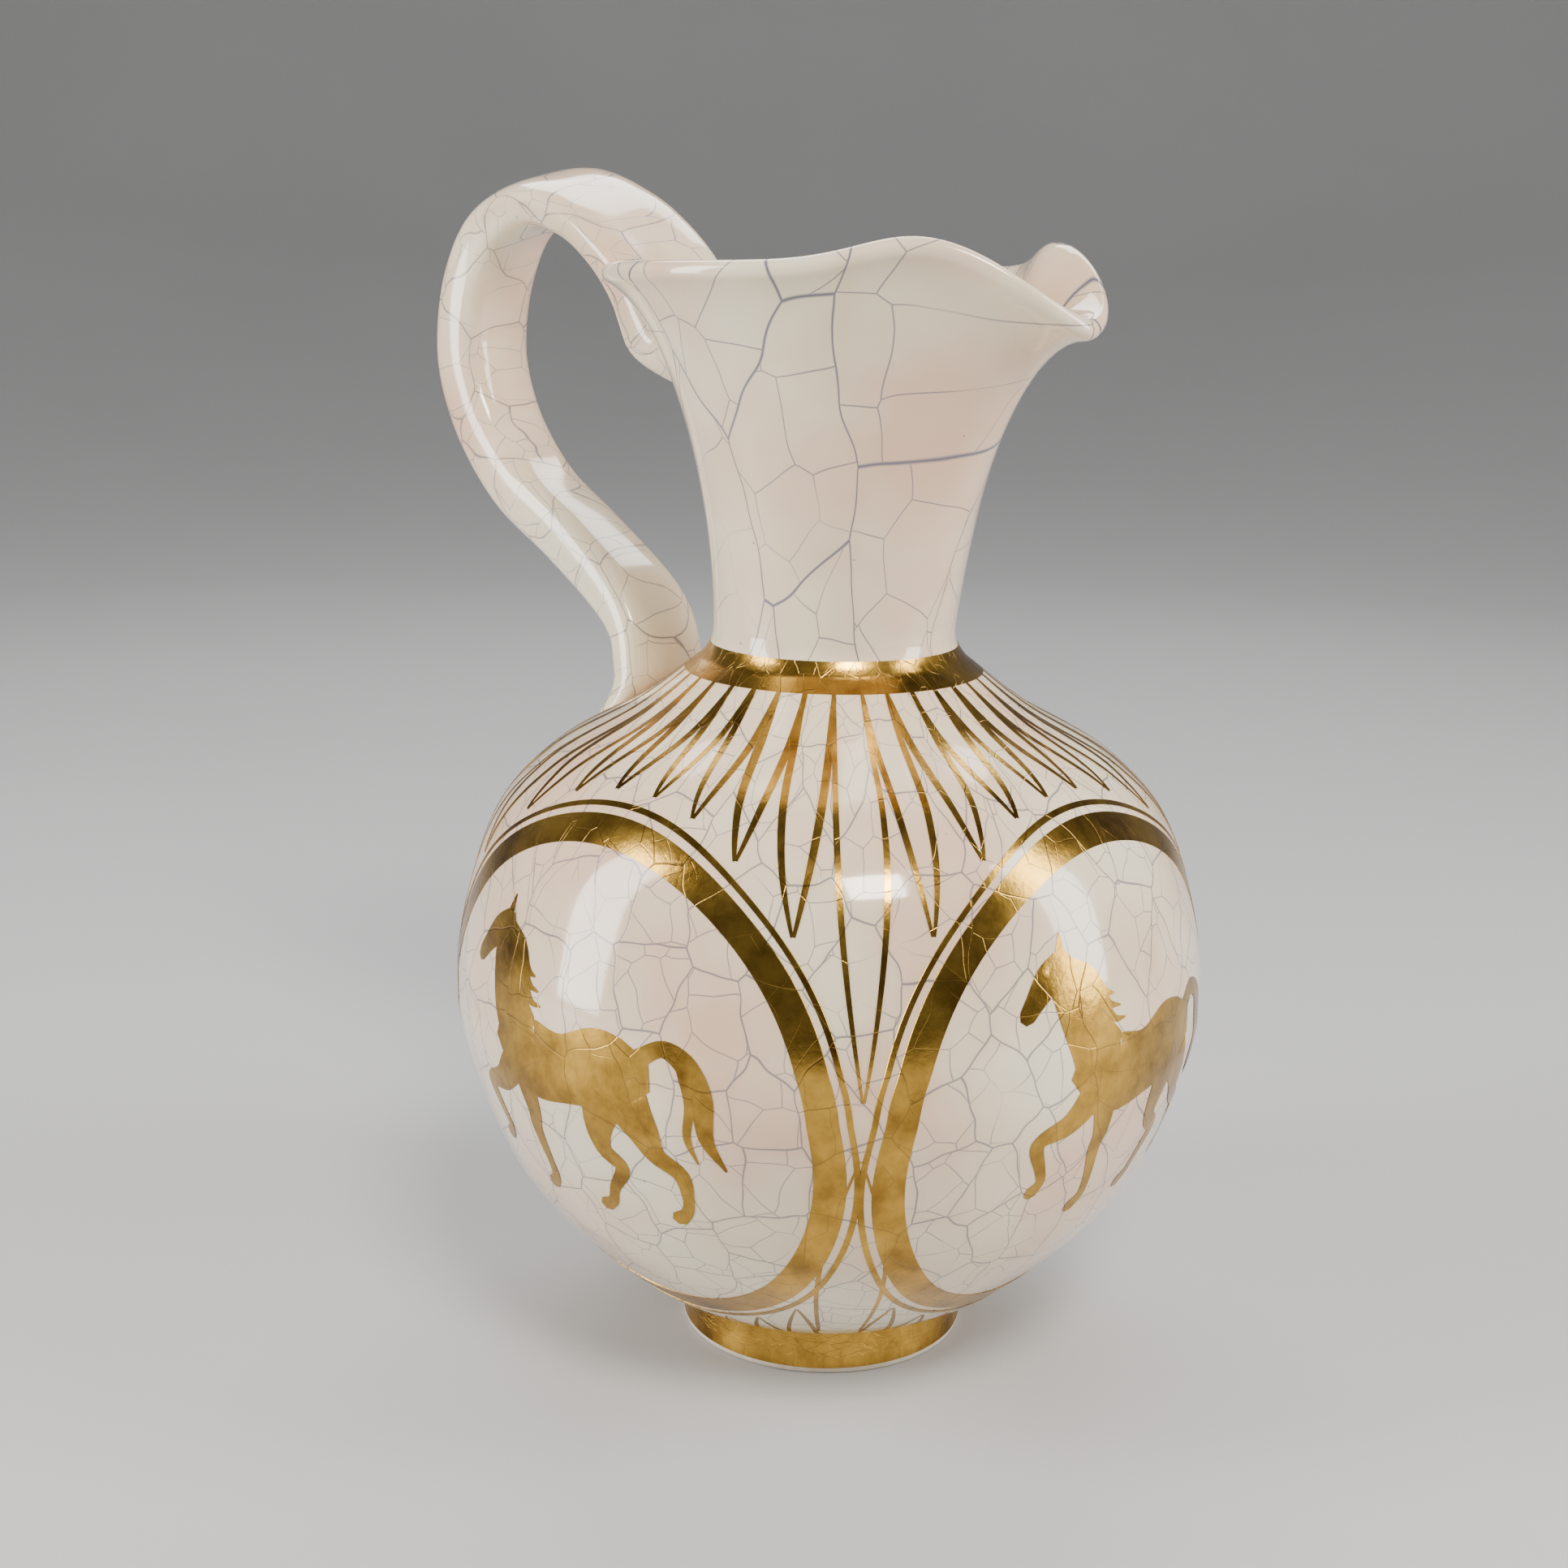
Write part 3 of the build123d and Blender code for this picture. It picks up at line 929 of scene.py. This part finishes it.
def brush(mesh, start, end, width, bow, steps):
    """A stroke on the globe from start to end, each an angle in degrees and a height."""
    section = [(-1, -sunk), (-1, film), (1, film), (1, -sunk), (-1, -sunk)]

    def middle(t):
        angle = start[0] + (end[0] - start[0]) * t + bow * math.sin(math.pi * t)
        height = start[1] + (end[1] - start[1]) * t
        return globe_point(math.radians(angle), height)

    def place(u, v):
        here = middle(u)
        ahead = middle(min(u + 0.02, 1.02)) - middle(u - 0.02)
        out = np.array([here[0], here[1], 0.0]) / math.hypot(here[0], here[1])
        side = np.cross(ahead, out)
        side /= np.linalg.norm(side)
        # the stroke swells soon after its start and is full before its middle
        swell = math.sin(math.pi * (0.08 + 0.86 * u ** 0.8)) ** 0.8
        full = 0.5 * width * (tip_share + (1 - tip_share) * swell)
        across, lift = section[round(v * 4)]
        spot = here + side * across * full
        reach = math.hypot(spot[0], spot[1])
        target = globe_radius(spot[2]) + lift
        return (spot[0] * target / reach, spot[1] * target / reach, spot[2] + lift * 0.4)

    wrap(mesh, steps, 4, place)


# a tilted medallion faces slightly down, so its circle lands this much lower on the globe
nod = 3.8
# strokes at least this many degrees from a medallion's middle run down the gap between two
gap_from = 44.0


def from_medallion(angle):
    """Degrees from an angle to the middle of the nearest medallion."""
    return abs((angle + 45.0) % 90.0 - 45.0)


def ring_crossing(away, radius, way):
    """Height where a medallion's circle is crossed, above it (way 1) or below it (way -1)."""
    height = medallion_height
    for _ in range(8):
        aside = globe_radius(height) * math.sin(math.radians(away))
        height = medallion_height - nod + way * math.sqrt(max(radius ** 2 - aside ** 2, 0.0))
    return height


# %% Shoulder lancets
lancet_count = 36
lancet_step = 360.0 / lancet_count
lancet_mesh = bmesh.new()
rng = np.random.default_rng(7)
for index in range(lancet_count):
    foot_angle = (index + 0.5) * lancet_step
    away = from_medallion(foot_angle)
    in_gap = away > gap_from
    tip = medallion_height + 4.0 if in_gap else ring_crossing(away, line_radius + 0.6, 1) + 1.0
    for side in (-1, 1):
        top = foot_angle + side * lancet_step * 0.5 + rng.uniform(-0.5, 0.5)
        width = 1.2 if in_gap else rng.uniform(1.3, 1.75)
        bow = side * rng.uniform(0.2, 1.1)
        brush(lancet_mesh, (top, band_low + 0.2), (foot_angle + side * 0.12, tip), width, bow, 36)
finish_piece("shoulder_lancets", lancet_mesh, gold, film_weld)

# %% [markdown]
# ## Zigzag
# Over the foot the same brush draws a row of points that stand up. Most stop below a fine ring,
# and four climb the gaps between the medallions and bow out like the ends of a leaf.

# %% Zigzag over the foot
zigzag_mesh = bmesh.new()
zigzag_low = foot_height + 0.9
zigzag_rise = 3.5
for index in range(lancet_count):
    peak_angle = (index + 0.5) * lancet_step
    away = from_medallion(peak_angle)
    in_gap = away > gap_from
    peak = medallion_height - 8.0 if in_gap else ring_crossing(away, line_radius + 0.4, -1) - 0.2
    peak = max(peak, zigzag_low + zigzag_rise)
    for side in (-1, 1):
        low = peak_angle + side * lancet_step * 0.5
        bow = side * (3.0 if in_gap else 0.5)
        brush(zigzag_mesh, (low, zigzag_low), (peak_angle + side * 0.15, peak),
              rng.uniform(0.8, 1.05), bow, 24)
finish_piece("foot_zigzag", zigzag_mesh, gold, film_weld)

# %% [markdown]
# ## The horses
# Each medallion carries a small trotting horse, a plain one drawn for this pitcher. It is
# painted as a row of strokes that swell and taper; the strokes are merged into one flat shape,
# filled with small triangles so that it can bend, and laid on the globe.

# %% A trotting horse, each stroke as (across, up, half its width)
horse_strokes = {
    "body": [(-13, 4, 6.6), (-7, 2, 7.6), (1, 2.2, 6.6), (9, 4.2, 7.4), (14.5, 4.6, 6.2)],
    "neck": [(-12.5, 6.5, 6.4), (-16, 12, 5.0), (-18.6, 17.5, 3.8), (-20, 22.5, 2.9)],
    "head": [(-19.4, 23.6, 2.7), (-22.8, 21.6, 2.6), (-26, 18.4, 1.9), (-28.2, 15.8, 1.5)],
    "ear": [(-19.6, 25, 1.1), (-18.8, 28.8, 0.25)],
    "raised foreleg": [(-14, -1, 3.6), (-18.5, -5.5, 2.6), (-23.5, -7.5, 1.8), (-24.6, -9.5, 1.5),
                       (-22.5, -14, 1.1), (-21.2, -17.2, 1.0), (-22.4, -19.4, 1.5)],
    "standing foreleg": [(-10.5, -2, 3.2), (-9.4, -9, 2.1), (-9.8, -13, 1.6), (-8.6, -19.5, 1.1),
                         (-8.4, -23.6, 1.1), (-10.2, -25.8, 1.5)],
    "pushing hind leg": [(14, 1, 5.6), (17.6, -5.6, 3.7), (19.6, -10.6, 2.2), (23.6, -14.2, 1.7),
                         (23.8, -19.4, 1.1), (22.8, -22.6, 1.1), (20.8, -24.4, 1.5)],
    "stepping hind leg": [(10.5, 0, 5.0), (8.2, -7, 3.2), (8.4, -12, 2.0), (11.6, -15.4, 1.6),
                          (8.4, -20.6, 1.1), (7.0, -23.8, 1.1), (4.8, -25.4, 1.5)],
    "tail": [(18, 8, 1.7), (22.5, 10.2, 1.5), (27, 7.4, 2.0), (29.6, 1.4, 1.9), (29.8, -6, 1.3),
             (32, -12, 0.25)],
    "lock of the tail": [(26, 7, 1.0), (27.4, 0.4, 0.9), (26.4, -6, 0.7), (27.4, -11, 0.2)],
    "upper mane": [(-17.6, 23.5, 1.2), (-13.4, 21.4, 1.2), (-10.6, 17.8, 0.8), (-8.2, 17, 0.2)],
    "lower mane": [(-16.4, 19, 1.2), (-11.4, 15.8, 1.0), (-8.6, 12.6, 0.7), (-5.8, 12.2, 0.2)],
    "middle mane": [(-17.2, 21.4, 1.2), (-12.2, 18.6, 1.0), (-9.6, 15.4, 0.7), (-6.8, 14.6, 0.2)],
}


def stroke_edge(stroke):
    """The closed edge of a stroke with a round start and end."""
    line = through(stroke, 5)
    run = np.gradient(line[:, :2], axis=0)
    run /= np.linalg.norm(run, axis=1)[:, None]
    square = np.stack([-run[:, 1], run[:, 0]], axis=1) * line[:, 2:]
    left, right = line[:, :2] + square, line[:, :2] - square
    caps = []
    for at, way in ((-1, 1), (0, -1)):
        for angle in (0.35, 0.65):
            turned_by = math.pi * angle
            caps.append(line[at, :2] + way * (square[at] * math.cos(turned_by)
                                              + run[at] * line[at, 2] * math.sin(turned_by)))
    return [Vector(p) for p in [*left, *caps[:2], *right[::-1], *caps[2:]]]


# the triangulation drops what lies outside the strokes, and joins points closer than this
keep_inside = 1
joined_below = 0.02


def filled(edges, spacing):
    """The union of closed edges as a triangle mesh with no long triangle in it."""
    points, faces = [], []
    for edge in edges:
        faces.append(list(range(len(points), len(points) + len(edge))))
        points += edge
    lows = [min(p[i] for p in points) for i in (0, 1)]
    highs = [max(p[i] for p in points) for i in (0, 1)]
    for row, y in enumerate(np.arange(lows[1], highs[1], spacing)):
        for x in np.arange(lows[0] + 0.5 * spacing * (row % 2), highs[0], spacing):
            points.append(Vector((x, y)))
    verts, _, tris, *_ = geometry.delaunay_2d_cdt(points, [], faces, keep_inside, joined_below)
    return verts, tris


horse_flat = filled([stroke_edge(stroke) for stroke in horse_strokes.values()], 2.0)
print("horse", len(horse_flat[0]), "points", len(horse_flat[1]), "triangles")


# %% Horses on the medallions
def painted_shape(mesh, flat, number, size, shift, lift):
    """A flat shape laid on one medallion, as a thin closed film."""
    points, triangles = flat
    used = sorted({i for triangle in triangles for i in triangle})
    laid = {}
    for i in used:
        x, y = points[i][0] * size + shift[0], points[i][1] * size + shift[1]
        laid[i] = mesh.verts.new(Vector(on_medallion(number, x, y, lift)) * MM)
    for triangle in triangles:
        mesh.faces.new([laid[i] for i in triangle])


horse_size = 1.06
horse_shift = (0.6, 5.8)
horse_mesh = bmesh.new()
for number in range(medallion_count):
    painted_shape(horse_mesh, horse_flat, number, horse_size, horse_shift, film)
bmesh.ops.solidify(horse_mesh, geom=horse_mesh.faces[:], thickness=film + sunk)
finish_piece("gilt_horses", horse_mesh, gold, 0.0001)

# %% [markdown]
# ## Floor and light
# A pale paper sweep lies under the pitcher and curves up into a wall behind it. Four soft
# panels light it: a small high one in front, a tall one at each side, and a wide one high
# behind. The room itself is kept dim, so that the gold has something dark to reflect.

# %% Floor
# in metres; the bend starts a millimetre under the floor, so that no line shows where it rises
floor_reach, wall_reach, wall_height = 6.0, 2.4, 4.0
bend_at, bend_level = 1.2, -0.001
sweep_from, sweep_turn = math.radians(-20), math.radians(220)


def sweep():
    """A floor that curves up into a wall behind the pitcher."""
    material, tree, shader = new_finish("pale paper")
    where = node(tree, "ShaderNodeTexCoord", (-900, 0)).outputs["Object"]
    fibre = noise_on(tree, where, (-700, 0), Scale=4.0, Detail=2.0).outputs["Fac"]
    colour = ramp(tree, fibre, (-450, 0), (0, (0.50, 0.50, 0.50, 1)), (1, (0.54, 0.54, 0.54, 1)))
    tree.links.new(colour, shader.inputs["Base Color"])
    shader.inputs["Roughness"].default_value = 0.6
    mesh = bmesh.new()
    bmesh.ops.create_circle(mesh, cap_ends=True, segments=64, radius=floor_reach)
    bend = bezier((bend_at, bend_level), (2.0, bend_level),
                  (wall_reach, 0.3), (wall_reach, 1.2), 32)
    profile = [*bend, (wall_reach, wall_height)]
    corners = [mesh.verts.new((radius, 0, height)) for radius, height in profile]
    edges = [mesh.edges.new((a, b)) for a, b in zip(corners, corners[1:])]
    behind = Matrix.Rotation(heading + sweep_from, 3, "Z")
    bmesh.ops.rotate(mesh, verts=corners, cent=(0, 0, 0), matrix=behind)
    bmesh.ops.spin(mesh, geom=corners + edges, cent=(0, 0, 0), axis=(0, 0, 1), dvec=(0, 0, 0),
                   angle=sweep_turn, steps=96, use_merge=False, use_duplicate=False)
    return place_mesh("floor", mesh, material)


sweep()

# %% Lights
aim_height = 0.12
# name, degrees to the camera's right, height and distance, width and height, watts, colour
panels = [("front panel", 18, 0.95, 0.75, (0.3, 0.3), 12.0, (1.0, 0.95, 0.88)),
          ("left panel", -75, 0.45, 0.9, (0.3, 0.9), 12.0, (1, 1, 1)),
          ("right panel", 80, 0.5, 0.9, (0.3, 0.9), 10.0, (1, 1, 1)),
          ("back panel", 180, 1.2, 0.9, (1.2, 0.5), 12.0, (1, 1, 1))]
for name, turned_right, height, distance, size, power, tint in panels:
    light_data = bpy.data.lights.new(name, "AREA")
    light_data.shape = "RECTANGLE"
    light_data.size, light_data.size_y = size
    light_data.energy = power
    light_data.color = tint
    light = bpy.data.objects.new(name, light_data)
    angle = heading - math.pi / 2 + math.radians(turned_right)
    light.location = (distance * math.cos(angle), distance * math.sin(angle), height)
    aim = Vector((0, 0, aim_height)) - light.location
    light.rotation_euler = aim.to_track_quat("-Z", "Y").to_euler()
    bpy.context.collection.objects.link(light)

room_colour, room_light = (0.62, 0.64, 0.68, 1), 0.22
world = bpy.data.worlds.new("studio")
bpy.context.scene.world = world
world.use_nodes = True
world.node_tree.nodes["Background"].inputs["Color"].default_value = room_colour
world.node_tree.nodes["Background"].inputs["Strength"].default_value = room_light
print(len(panels), "panels")
